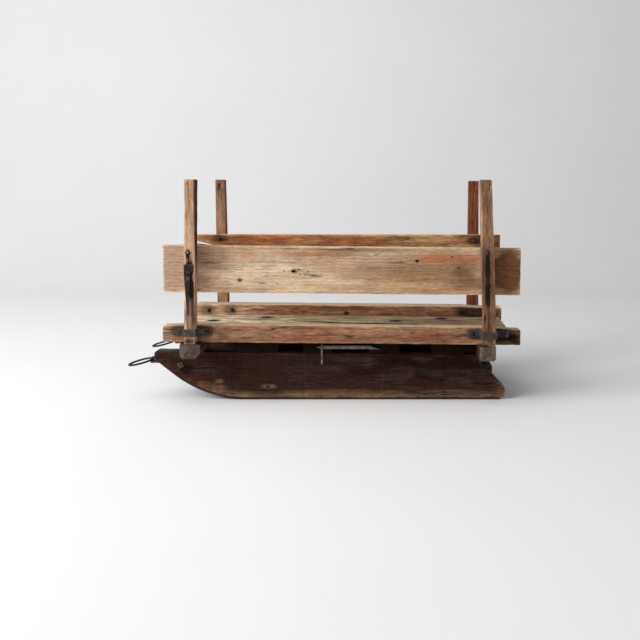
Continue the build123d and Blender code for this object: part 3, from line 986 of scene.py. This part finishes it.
class SLED_OT_side_boards(bpy.types.Operator):
    """Make the two long side boards, with knots, nail holes and splits"""

    bl_idname = "sled.side_boards"
    bl_label = "Side boards"

    def execute(self, context):
        wood = context.scene.sled_wood
        self.near_board(wood)
        self.far_board(wood)
        return {"FINISHED"}

    def near_board(self, wood):
        """The near board: tan at the left, browner towards the right end."""
        node = "side_board_near"
        face_y = level_box(node)[0].y
        knots, tints = [], []
        for a, u, radius in BOARD_KNOTS:
            knots.append((tuple(BED @ on_face(node, a, u, face_y)), radius * MM))
        for a, u, half_along, half_up, colour, share in BOARD_TINTS:
            place = BED @ on_face(node, a, u, face_y)
            tints.append(patch(place, (half_along, 40, half_up), tone(*colour), share))
        finish = wood_finish(
            "near_board_wood", 0, wood.board[:], wood.board_warm[:], tone(146, 130, 108),
            pith=(0.0, 0.16, -0.26), ring_gap=9 * MM, knots=knots, tints=tints, seed=1.0,
            greying=0.3, warmth=0.4, contrast=0.33, ring_depth=0.25,
        )
        cutter = bmesh.new()
        for number, (a, u, radius, stretch) in enumerate(BOARD_HOLES):
            place = on_face(node, a, u, face_y)
            add_pit(cutter, place, -Y, radius * MM, 7 * MM, stretch, number)
        add_cracks(cutter, node, lambda a, u: on_face(node, a, u, face_y))
        finish_piece(
            "near_side_board", timber(node, 3), [finish], "rack_near",
            nodes=(node,), cutter=cutter, place=BED,
        )

    def far_board(self, wood):
        """The far board: orange brown, paler along its top from weathering and painted light from
        above, with a sliver gone.
        """
        node = "side_board_far"
        face_y = level_box(node)[0].y
        stains = []
        for a, u in FAR_BOARD_HEADS[:2]:
            stains.append(patch(BED @ on_face(node, a, u, face_y), (46, 20, 20), 0.8))
        rear_end = BED @ on_face(node, 1040, 120, face_y)
        # Darker towards the rear end
        darker_rear = patch(rear_end, (90, 60, 80), tone(104, 72, 48), 1.2)
        finish = wood_finish(
            "far_board_wood", 0, wood.far_board[:], tone(164, 100, 60), tone(172, 142, 104),
            pith=(0.0, -0.34, -0.5), ring_gap=11 * MM, seed=5.0, greying=0.6, warmth=0.85,
            # Paler top: weathering, and painted light from above
            top_pale_and_lit=tone(196, 164, 128), stains=stains, tints=[darker_rear],
        )
        cutter = bmesh.new()
        add_cracks(cutter, node, lambda a, u: on_face(node, a, u, face_y))
        cutter.transform(FAR_BOARD.inverted() @ BED)
        finish_piece(
            "far_side_board", timber(node, 7, frame_turn=FAR_BOARD), [finish], "rack_far",
            nodes=(node,), cutter=cutter, place=FAR_BOARD,
        )


class SLED_OT_stakes(bpy.types.Operator):
    """Make the four stakes with their tapered, worn tops"""

    bl_idname = "sled.stakes"
    bl_label = "Stakes"

    def execute(self, context):
        wood = context.scene.sled_wood
        tones = {
            "near_front": (wood.stake[:], tone(178, 130, 100), tone(158, 134, 112), 0.6),
            "near_rear": (tone(150, 116, 90), tone(146, 96, 68), tone(124, 100, 80), 0.8),
            "far_front": (tone(152, 118, 94), tone(140, 98, 72), tone(128, 104, 84), 0.7),
            "far_rear": (tone(124, 76, 52), tone(146, 64, 34), tone(110, 80, 60), 1.0),
        }
        for number, (name, bolts) in enumerate(STAKE_BOLTS.items()):
            node = "stake_" + name
            word = name.split("_")[0]
            low, high = level_box(node)
            face_y = low.y
            stains = []
            under_bolts = [(a, u - 8, 10, 22, 1.1) for a, u in bolts]
            for a, u, half_along, half_up, share in under_bolts + STAKE_STAINS_AND_SHADE[name]:
                place = BED @ on_face(node, a, u, face_y)
                stains.append(patch(place, (half_along, 14, half_up), share))
            cutter = bmesh.new()
            if name == "far_front":
                add_pit(cutter, BED @ on_face(node, 13, 486, face_y), -Y, 4 * MM, 8 * MM, 1.0, 3)
            top = BED @ Vector(((low.x + high.x) / 2, face_y, high.z))
            start, end = top - Z * 46 * MM, top + Z * 8 * MM
            add_crack(cutter, start, end, -Y, 1.5 * MM, 7 * MM, 3 * MM, number)
            base, warm, grey, contrast = tones[name]
            tints = []
            middle_y, middle_z = (low.y + high.y) / 2, (low.z + high.z) / 2
            if name == "near_rear":
                # Painted light: the left side of this stake, turned to the window light, is painted
                # pale
                paler = BED @ Vector((low.x, low.y + 4 * MM, middle_z))
                tints.append(patch(paler, (13, 60, 300), tone(226, 178, 142), 1.3))
            if name == "near_front":
                handled = BED @ on_face(node, 14, 92, face_y)
                tints.append(patch(handled, (30, 40, 80), tone(136, 108, 90), 1.0))
            if name.endswith("front"):
                # Painted shade: the right side of each front stake, turned from the window light,
                # is painted dark
                shaded_side = BED @ Vector((high.x, middle_y, middle_z))
                tints.append(patch(shaded_side, (5, 60, 700), tone(70, 51, 40), 1.3))
            finish = wood_finish(
                node + "_wood", 2, base, warm, grey, pith=(0.05, 0.02, 0.0), ring_gap=10 * MM,
                stains=stains, tints=tints, seed=11.0 + number, contrast=contrast,
            )
            bm = merged_copy(node, wood.edge)
            slice_up(bm, 2, low.z + 20 * MM, high.z, 16, 6)
            for axis in (0, 1):
                slice_up(bm, axis, low[axis], high[axis], 11, 5)
            weather(bm, wood.wave, wood.chip * 0.8, 20 + number)
            finish_piece(
                name + "_stake", bm, [finish], "rack_" + word, nodes=(node,),
                cutter=cutter,
            )
        return {"FINISHED"}


class SLED_OT_bed(bpy.types.Operator):
    """Make the rails and the planks of the bed"""

    bl_idname = "sled.bed"
    bl_label = "Rails and planks"

    def execute(self, context):
        wood = context.scene.sled_wood
        for number, word in enumerate(SIDES):
            self.rail(wood, word, number)
            self.plank(wood, word, number)
        return {"FINISHED"}

    def rail(self, wood, word, number):
        """A rail with rounded ends, stained round its straps."""
        node = "rail_" + word
        low, high = level_box(node)
        face_y = low.y
        stains, tints = [], []
        stained = 0.9 if word == "near" else 0.6
        for end in ("front", "rear"):
            strap_low, strap_high = level_box("strap_" + word + "_" + end)
            for x in (strap_low.x + 22 * MM, strap_high.x - 22 * MM):
                place = BED @ Vector((x, face_y, (strap_low.z + strap_high.z) / 2))
                stains.append(patch(place, (40, 20, 25), stained))
        ends = {"front": low.x, "middle": (low.x + high.x) / 2, "rear": high.x}
        for end, a, u, radii, colour, share in RAIL_TINTS[word]:
            place = BED @ Vector((ends[end] + a * MM, face_y, low.z + u * MM))
            tints.append(patch(place, radii, tone(*colour), share))
        dips = []
        for end, a, half, depth in RAIL_DIPS[word]:
            dips.append((ends[end] + a * MM, half * MM, depth * MM))

        def round_ends(bm, top):
            ends = [e for e in bm.edges if along(e, 1) and middle_of(e).z > top.z - MM]
            ease(bm, ends, 7 * MM, 4)

        finish = wood_finish(
            node + "_wood", 0, wood.rail[:], wood.rail_warm[:], tone(134, 112, 86),
            pith=(0.0, 0.06, -0.2), ring_gap=8 * MM, stains=stains, tints=tints,
            # Paler top: weathering, and painted light from above
            seed=31.0 + number, greying=0.4, warmth=0.8, top_pale_and_lit=tone(192, 168, 136),
        )
        cutter = None
        if word == "far":
            cutter = bmesh.new()
            add_cracks(cutter, node, lambda a, u: on_face(node, a, u, face_y))
        finish_piece(
            word + "_rail", timber(node, 31 + number, round_ends, dips), [finish], "sled",
            nodes=(node,), place=BED, cutter=cutter,
        )

    def plank(self, wood, word, number):
        """A plank with rounded corners; the far one has split along its near edge."""
        node = "bed_plank_" + word
        low, high = level_box(node)

        def round_corners(bm, top):
            ease(bm, [e for e in bm.edges if along(e, 2)], 14 * MM, 4)

        stains = []
        for a, u in PLANK_HEADS:
            place = BED @ Vector((low.x + a * MM, low.y + u * MM, high.z))
            stains.append(patch(place, (30, 26, 14), 1.5))
        paler = BED @ Vector((low.x + 130 * MM, 0.0, high.z))
        # Darker towards the rear end
        darker_rear = BED @ Vector((high.x - 150 * MM, 0.0, high.z))
        tints = [
            patch(paler, (330, 300, 60), tone(222, 200, 170), 0.9),
            patch(darker_rear, (330, 300, 60), tone(126, 102, 76), 0.8),
        ]
        finish = wood_finish(
            node + "_wood", 0, wood.bed[:], tone(168, 138, 98), tone(148, 138, 112),
            pith=(0.0, 0.02, -0.25), ring_gap=9 * MM, seed=41.0 + number,
            warmth=0.5, contrast=1.3, stains=stains if word == "far" else (), tints=tints,
        )
        cutter = None
        if word == "far":
            cutter = bmesh.new()
            add_cracks(cutter, node, lambda a, y: Vector((low.x + a * MM, y * MM, high.z)), Z)
        finish_piece(
            word + "_bed_plank", timber(node, 41 + number, round_corners), [finish], "sled",
            nodes=(node,), place=BED, cutter=cutter,
        )


class SLED_OT_cross_timbers(bpy.types.Operator):
    """Make the bolsters and the boards across the runners"""

    bl_idname = "sled.cross_timbers"
    bl_label = "Bolsters and cross boards"

    def execute(self, context):
        wood = context.scene.sled_wood
        names = ["bolster_front", "bolster_rear"] + ["cross_board_%d" % n for n in range(1, 5)]
        for number, node in enumerate(names):
            low, high = level_box(node)
            finish = wood_finish(
                node + "_wood", 1, wood.bolster[:], tone(70, 42, 30), tone(78, 64, 54),
                pith=(-(low.x + high.x) / 2, 0.0, -low.z), ring_gap=6 * MM, seed=51.0 + number,
                greying=0.6, edge_pale=0.9 if number < 2 else 0.3,
                end_tone=wood.bolster_end[:] if number < 2 else tone(30, 18, 13),
            )
            bm = merged_copy(node, wood.edge)
            slice_up(bm, 1, low.y, high.y, 20, 6)
            slice_up(bm, 0, low.x, high.x, 16, 6)
            weather(bm, wood.wave, wood.chip, 50 + number)
            cutter = self.checks(low, high, number) if node.startswith("bolster") else None
            finish_piece(
                node + "_timber", bm, [finish], "sled", nodes=(node,), cutter=cutter
            )
        return {"FINISHED"}

    def checks(self, low, high, number):
        """A cutter for the cracks that run out from the heart on both ends of a bolster."""
        cutter = bmesh.new()
        heart = (low + high) / 2
        reach_out = (high.z - low.z) * 0.42
        for side in SIDES.values():
            face_y = low.y if side < 0 else high.y
            for turn_deg, length in ((85, 1.0), (205, 0.8), (330, 0.6)):
                turn = radians(turn_deg + 25 * number)
                lead = Vector((cos(turn), 0, sin(turn)))
                start = Vector((heart.x, face_y, heart.z)) + lead * 2 * MM
                start, end = BED @ start, BED @ (start + lead * reach_out * length)
                add_crack(cutter, start, end, Y * side, 2.2 * MM, 12 * MM, 1.5 * MM, turn_deg)
        return cutter


class SLED_OT_runners(bpy.types.Operator):
    """Make the plank runners and their iron shoes"""

    bl_idname = "sled.runners"
    bl_label = "Runners and shoes"

    def execute(self, context):
        wood = context.scene.sled_wood
        for number, (word, side) in enumerate(SIDES.items()):
            node = "runner_" + word
            low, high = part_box(node)
            outer = low[1] if side < 0 else high[1]
            knot = (low[0] + 345 * MM, outer, low[2] + 34 * MM)
            small_knot = (low[0] + 0.195, outer, low[2] + 0.052)
            # Painted shade over the runner's upper part, under the rail and bed
            shaded_upper_part = (high[0] - 0.16, outer, low[2] + 0.1)
            worn = wood.runner_band[:]
            tints = [
                ((0.1, outer, low[2]), (0.68, 0.09, 0.03), worn, 0.85),
                ((0.42, outer, low[2] + 0.002), (0.2, 0.09, 0.03), worn, 1.5),
                ((-0.362, outer, 0.048), (0.036, 0.09, 0.017), worn, 0.4),
                ((-0.322, outer, 0.032), (0.05, 0.09, 0.02), worn, 0.6),
                ((-0.262, outer, 0.017), (0.08, 0.09, 0.02), worn, 0.6),
                # Dark beside the nose nut: stain, and partly the nut's painted shadow
                ((-0.41, outer, 0.098), (0.034, 0.09, 0.024), tone(26, 18, 15), 1.1),
                ((high[0], outer, low[2] + 0.02), (0.06, 0.09, 0.05), worn, 0.8),
                (knot, (0.034, 0.03, 0.012), tone(138, 108, 82), 0.85),
                (small_knot, (0.016, 0.03, 0.008), tone(120, 94, 76), 0.8),
                # Painted shade under the rail
                (shaded_upper_part, (0.5, 0.05, 0.07), tone(34, 17, 10), 1.0),
            ]
            finish = wood_finish(
                node + "_wood", 0, wood.runner[:], tone(66, 33, 22), tone(74, 58, 49),
                pith=(0.0, 0.3, 0.4), ring_gap=12 * MM, seed=61.0 + number, sawn=0.14,
                warmth=0.5, edge_pale=0.9, contrast=0.65, tints=tints, knots=[(knot, 5 * MM)],
            )
            bm = merged_copy(node, wood.edge)
            for axis in (0, 2):
                slice_up(bm, axis, low[axis], high[axis], 20, 8)
            weather(bm, wood.wave, wood.chip, 60 + number)
            cutter = bmesh.new()
            add_pit(cutter, Vector(knot), Y * side, 3.2 * MM, 7 * MM, 1.4, 2)
            nail_hole = Vector((high[0] - 197 * MM, outer, low[2] + 53 * MM))
            add_pit(cutter, nail_hole, Y * side, 3 * MM, 6 * MM, 1.6, 4)
            finish_piece(
                word + "_runner", bm, [finish], "sled", nodes=(node,), cutter=cutter
            )
            bm = merged_copy("shoe_" + word, 0.8 * MM)
            slice_up(bm, 0, low[0], high[0], 24, 8)
            weather(bm, 0.3 * MM, 0.5 * MM, 70 + number)
            iron_piece(word + "_shoe", bm, "shoe_iron", "shoe_" + word)
        return {"FINISHED"}


class SLED_OT_tow_irons(bpy.types.Operator):
    """Make the nose eyes, the tow rings, and the tie rod with its nuts"""

    bl_idname = "sled.tow_irons"
    bl_label = "Tow rings and tie rod"

    def execute(self, context):
        for word, side in SIDES.items():
            self.tow_ring(word)
            bm = merged_copy("nose_eye_" + word, 0.8 * MM)
            weather(bm, 0.2 * MM, 0.3 * MM, 80 + side)
            iron_piece(word + "_nose_eye", bm, "forged_iron", "nose_eye_" + word)
        self.tie_rod()
        return {"FINISHED"}

    def tow_ring(self, word):
        """A teardrop ring of round bar: a tight neck, two straight flanks and a wide bow."""
        wire, neck, bow, droop = 3.3 * MM, 8.5 * MM, 37 * MM, radians(13)
        node = "tow_ring_" + word
        joint = next(j for j in frame["joints"] if j["name"] == node + "_swing")
        pivot = Vector(joint["pos_m"])
        outward = Vector((-cos(droop), 0, -sin(droop)))
        length = reach(node, outward)[1] - pivot.dot(outward) - wire
        lean = asin((bow - neck) / (length - bow - neck))
        flank = (length - bow - neck) * cos(lean)
        start = Vector((neck * (1 - sin(lean)), -neck * cos(lean), 0.0))
        bar = Bar(wire, start, Vector((-cos(lean), sin(lean), 0)), Z, closed=True)
        bar.bend(neck, -Z, 2 * (pi / 2 - lean), 10)
        bar.run(flank, 4)
        bar.bend(bow, -Z, 2 * (pi / 2 + lean), 36)
        bar.run(flank, 4)
        hung = Matrix.Rotation(-droop, 4, "Y") @ Matrix.Rotation(pi, 4, "Z")
        iron_piece(
            word + "_tow_ring", bar.finish(SIDES[word]), "ring_iron", node, node,
            Matrix.Translation(pivot) @ hung,
        )

    def tie_rod(self):
        """The rod between the noses, drawn through both runners to a nut on each."""
        low, high = [Vector(corner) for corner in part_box("nose_tie_rod")]
        radius = (high.z - low.z) / 2
        middle = (low + high) / 2
        bar = Bar(radius, Vector((middle.x, low.y, middle.z)), Y, X, sides=16)
        bar.run(high.y - low.y, 24)
        iron_piece("tie_rod", bar.finish(4), "forged_iron", "nose_tie_rod")
        items = []
        for word, side in SIDES.items():
            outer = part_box("runner_" + word)[0 if side < 0 else 1][1]
            place = LEVEL @ Vector((middle.x, outer, middle.z))
            items.append(("large nut", place, Y * side, radians(24)))
        fasten("tie_rod_nuts", "sled", items, "nut_iron")


class SLED_OT_staples(bpy.types.Operator):
    """Make the iron bows on the runners' tails, and the side bar with its long staple"""

    bl_idname = "sled.staples"
    bl_label = "Staples and side bar"

    def execute(self, context):
        tail_run, tail_fall = 75.5, 79.0
        cut = Vector((tail_run, 0, -tail_fall)).normalized()
        normal = Vector((tail_fall, 0, tail_run)).normalized()
        for number, word in enumerate(SIDES):
            node = "tail_staple_" + word
            low_y, high_y = reach(node, Y)
            wire = (high_y - low_y) / 2
            left, right = reach(node, cut)
            foot, top = reach(node, normal)
            bend = (right - left) / 2 - wire
            start = cut * (left + wire) + normal * foot + Y * (low_y + wire)
            bar = Bar(wire, start, normal, cut)
            straight = top - foot - bend - wire
            bar.run(straight, 4)
            bar.bend(bend, Y, pi, 20)
            bar.run(straight, 4)
            iron_piece(word + "_tail_staple", bar.finish(number), "forged_iron", node)
        self.side_bar()
        return {"FINISHED"}

    def side_bar(self):
        """The flat bar against the near runner, and the long staple that holds it."""
        bm = merged_copy("side_bar", 1.6 * MM, 3)
        low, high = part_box("side_bar")
        slice_up(bm, 0, low[0], high[0], 12, 5)
        weather(bm, 0.5 * MM, 0.6 * MM, 90)
        iron_piece("iron_side_bar", bm, "bar_iron_and_sheen", "side_bar")
        low, high = [Vector(corner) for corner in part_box("side_bar_staple")]
        wire = (high.x - low.x) / 2
        bend = 5.2 * MM
        start = Vector(((low.x + high.x) / 2, high.y, low.z + wire))
        bar = Bar(wire, start, -Y, X)
        across = high.y - low.y - wire - bend
        bar.run(across, 3)
        bar.bend(bend, X, -pi / 2, 6)
        bar.run(high.z - low.z - 2 * wire - 2 * bend, 8)
        bar.bend(bend, X, -pi / 2, 6)
        bar.run(across, 3)
        iron_piece("long_staple", bar.finish(8), "bar_iron_and_sheen", "side_bar_staple")


class SLED_OT_straps(bpy.types.Operator):
    """Make the straps round the stakes' feet, the hook, and every bolt and nail"""

    bl_idname = "sled.straps"
    bl_label = "Straps, hook and bolts"

    def execute(self, context):
        sled_bolts = []
        for number, (name, places) in enumerate(STRAP_HEADS.items()):
            node = "strap_" + name
            word = name.split("_")[0]
            side = SIDES[word]
            low, high = level_box(node)
            iron = "strap_iron" if name.endswith("front") else "forged_iron"
            bm = merged_copy(node, 0.9 * MM)
            slice_up(bm, 0, low.x, high.x, 12, 5)
            weather(bm, 0.3 * MM, 0.5 * MM, 100 + number)
            iron_piece(name + "_strap", bm, iron, node)
            rail_low, rail_high = level_box("rail_" + word)
            face_y = rail_low.y if side < 0 else rail_high.y
            up = (low.z + high.z) / 2
            for along_mm in places:
                place = Vector((low.x + along_mm * MM, face_y + side * STRAP_THICKNESS, up))
                sled_bolts.append(("head", place, Y * side, 0.0))
                if side < 0:
                    inner = Vector((place.x, rail_high.y, up))
                    sled_bolts.append(("nut", inner, Y, along_mm * 0.1))
        inner_y = level_box("rail_far")[0].y
        for a, u in FAR_RAIL_NUTS:
            sled_bolts.append(("nut", on_face("rail_far", a, u, inner_y), -Y, a * 0.1))
        sled_bolts.append(("head", on_face("rail_far", *FAR_RAIL_HEAD, inner_y), -Y, 0.0))
        rail_top = level_box("rail_near")[1].z
        for x, y in RAIL_NAILS:
            sled_bolts.append(("nail", Vector((x * MM, y * MM, rail_top - NAIL_SUNK)), Z, 0.0))
        low, high = level_box("bed_plank_far")
        for a, u in PLANK_HEADS:
            place = Vector((low.x + a * MM, low.y + u * MM, high.z - NAIL_SUNK))
            sled_bolts.append(("head", place, Z, 0.0))
        fasten("bed_bolts", "sled", sled_bolts)
        self.rack_bolts()
        self.hook()
        return {"FINISHED"}

    def rack_bolts(self):
        """Nuts on the stakes' outer faces and round heads on the boards' inner faces."""
        items = {"near": [], "far": []}
        for name, places in STAKE_BOLTS.items():
            word = name.split("_")[0]
            side = SIDES[word]
            low, high = level_box("stake_" + name)
            face_y = low.y if side < 0 else high.y
            board_low, board_high = level_box("side_board_" + word)
            inner_y = board_high.y if side < 0 else board_low.y
            for a, u in places:
                place = on_face("stake_" + name, a, u, face_y - side * NUT_SUNK)
                # The near front nut's paler bolt end is partly a painted glint
                kind = "glint nut" if name == "near_front" else "nut"
                items[word].append((kind, place, Y * side, radians(45 if a < 20 else 12)))
                if side < 0:
                    items[word].append(("head", Vector((place.x, inner_y, place.z)), Y, 0.0))
        inner_y = level_box("side_board_far")[0].y
        for a, u in FAR_BOARD_HEADS:
            items["far"].append(("head", on_face("side_board_far", a, u, inner_y), -Y, 0.0))
        for word, fastenings in items.items():
            fasten(word + "_rack_bolts", "rack_" + word, fastenings)

    def hook(self):
        """The forged hook: a flat plate with an eye bolt, drawn down to a curling tongue."""
        node = "stake_hook"
        low, high = level_box(node)
        bm = merged_copy(node, 0.9 * MM)
        bm.transform(LEVEL)
        slice_up(bm, 2, low.z, high.z, 7, 4)
        slice_up(bm, 0, low.x, high.x, 5, 3)
        tall = high.z - low.z
        thick = high.y - low.y
        for v in bm.verts:
            share = (high.z - v.co.z) / tall
            across = (v.co.x - low.x) / (high.x - low.x)
            hollow = sin(pi * min(1.0, (share - 0.2) / 0.8)) if share > 0.2 else 0.0
            if v.co.y < low.y + thick / 2 and share > 0.06:
                v.co.y += HOOK_THINNED * (0.6 + 0.4 * across) * (1 - 0.8 * hollow * (1 - across))
        weather(bm, 0.3 * MM, 0.5 * MM, 120)
        iron_piece("forged_hook", bm, "strap_iron", node, "rack_near", place=BED)
        sunk = bpy.context.scene.sled_iron.head * HEAD_RISE
        eye = on_face(node, 13, tall / MM - 30, low.y + sunk)
        fasten("hook_bolt", "rack_near", [("head", eye, -Y, 0.0)])


class SLED_PT_panel(bpy.types.Panel):
    """Operators and settings of the sled"""

    bl_label = "Freight sled"
    bl_idname = "SLED_PT_panel"
    bl_space_type = "VIEW_3D"
    bl_region_type = "UI"
    bl_category = "Sled"

    def draw(self, context):
        layout = self.layout
        for operator in OPERATORS:
            layout.operator(operator.bl_idname)
        for name in SETTINGS:
            settings = getattr(context.scene, name)
            box = layout.box()
            for key in settings.__annotations__:
                box.prop(settings, key)


SETTINGS = {
    "sled_stage": SledStageSettings,
    "sled_wood": SledWoodSettings,
    "sled_iron": SledIronSettings,
}
OPERATORS = [
    SLED_OT_stage,
    SLED_OT_side_boards,
    SLED_OT_stakes,
    SLED_OT_bed,
    SLED_OT_cross_timbers,
    SLED_OT_runners,
    SLED_OT_tow_irons,
    SLED_OT_staples,
    SLED_OT_straps,
]


def register():
    """Add the settings, operators and panel."""
    for name, group in SETTINGS.items():
        bpy.utils.register_class(group)
        setattr(bpy.types.Scene, name, PointerProperty(type=group))
    for part in OPERATORS + [SLED_PT_panel]:
        bpy.utils.register_class(part)


def unregister():
    """Take the settings, operators and panel away."""
    for part in reversed(OPERATORS + [SLED_PT_panel]):
        bpy.utils.unregister_class(part)
    for name, group in SETTINGS.items():
        delattr(bpy.types.Scene, name)
        bpy.utils.unregister_class(group)


def main():
    """Dress the sled."""
    register()
    for operator in OPERATORS:
        family, name = operator.bl_idname.split(".")
        getattr(getattr(bpy.ops, family), name)()
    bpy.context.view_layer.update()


if __name__ == "__main__":
    main()
